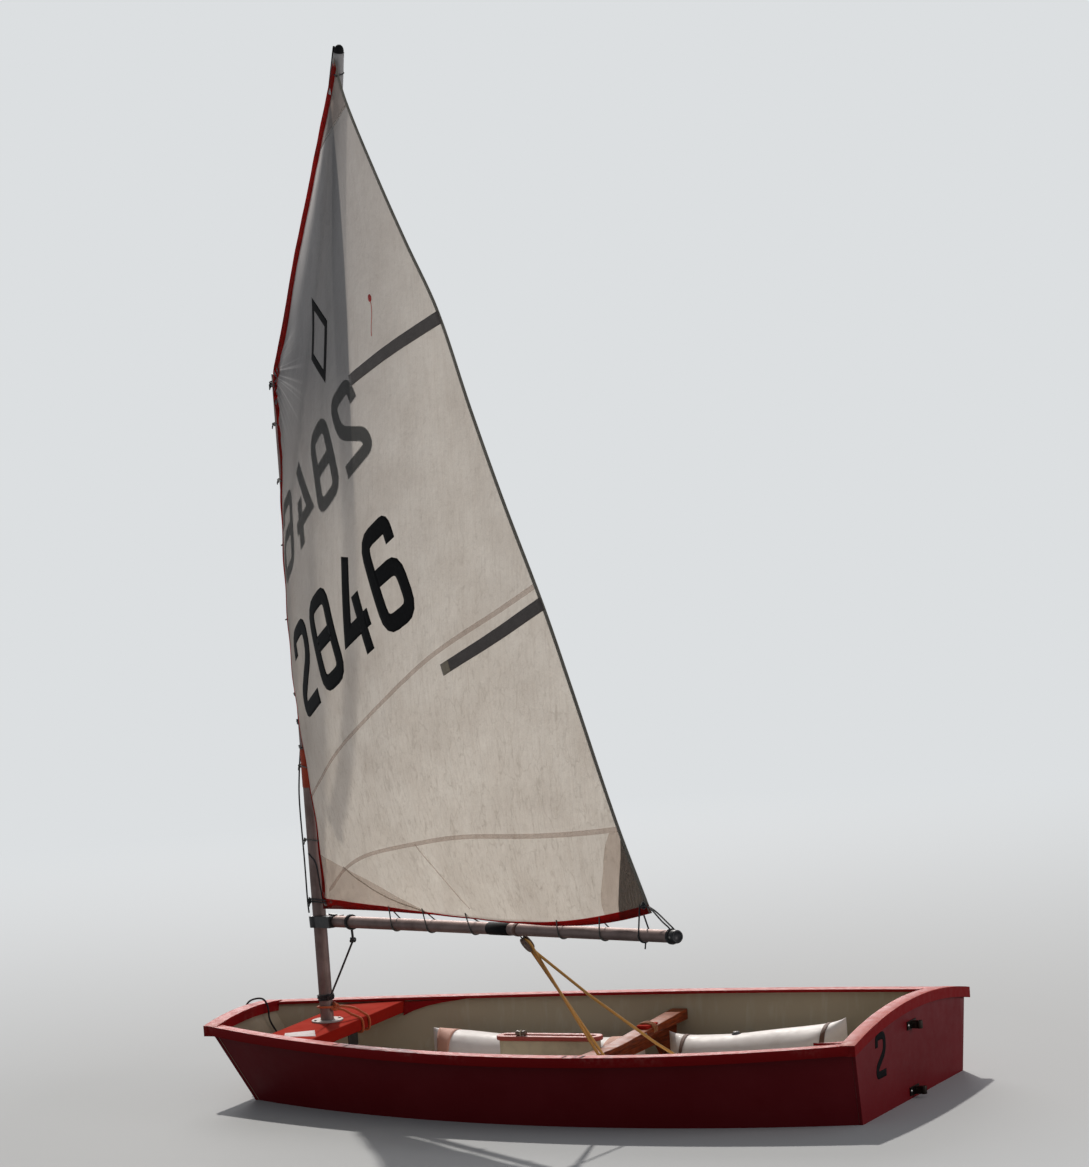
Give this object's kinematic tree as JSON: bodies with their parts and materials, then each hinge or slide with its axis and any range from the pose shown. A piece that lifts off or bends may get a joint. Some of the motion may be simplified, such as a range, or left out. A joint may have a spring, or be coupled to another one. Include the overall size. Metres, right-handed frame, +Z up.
{
  "type": "sailing dinghy",
  "caption": "Small pram-bowed sailing dinghy with an open hard-chine hull, mast thwart, daggerboard trunk and a four-sided spritsail on a rig that swings about the mast.",
  "frame": {"origin": "centre of the daggerboard slot, at the height of the lowest point of the bottom", "axes": "+X towards the bow, +Y to port, +Z up"},
  "size_m": [2.3478, 1.6951, 3.4074],
  "materials": {
    "hull_red": "gloss gelcoat, worn",
    "rail_red": "satin gelcoat",
    "grey_laminate": "satin",
    "brown_wood": "varnished",
    "white_film": "satin film",
    "black_plastic": "moulded",
    "steel": "dull",
    "alloy": "anodised",
    "rope": "braided",
    "sailcloth": "woven polyester",
    "batten_resin": "satin"
  },
  "bodies": {
    "hull": {"bottom_panel": "hull_red", "side_panel_port": "hull_red", "side_panel_starboard": "hull_red", "stern_transom": "hull_red", "bow_transom": "hull_red", "gunwale_port": "rail_red", "gunwale_starboard": "rail_red", "stern_cap": "rail_red", "bow_cap": "rail_red", "stern_knee_port": "rail_red", "stern_knee_starboard": "rail_red", "mast_thwart": "rail_red", "mast_collar": "black_plastic", "mast_step": "grey_laminate", "daggerboard_trunk": "grey_laminate", "trunk_cap": "rail_red", "cross_frame": "grey_laminate", "cross_frame_cap": "brown_wood", "bag_fore_port": "white_film", "bag_fore_starboard": "white_film", "bag_aft_port": "white_film", "bag_aft_starboard": "white_film", "gudgeon_upper": "steel", "gudgeon_lower": "steel", "bow_eye": "steel", "painter": "rope", "painter_coil": "rope", "floor_block": "black_plastic"},
    "rig": {"mast": "alloy", "mast_plug": "black_plastic", "boom": "alloy", "boom_jaws": "black_plastic", "boom_end_cap": "black_plastic", "boom_block": "black_plastic", "sprit": "alloy", "sprit_heel_cap": "black_plastic", "sprit_peak_cap": "black_plastic", "sail": "sailcloth", "batten_lower": "batten_resin", "batten_upper": "batten_resin"}
  },
  "joints": [
    {"name": "rig_swing", "type": "hinge", "parent": "hull", "child": "rig", "pos_m": [0.767, 0, 0.356], "axis": [0, 0, 1], "range_deg": [-52.3, 117.7]}
  ]
}
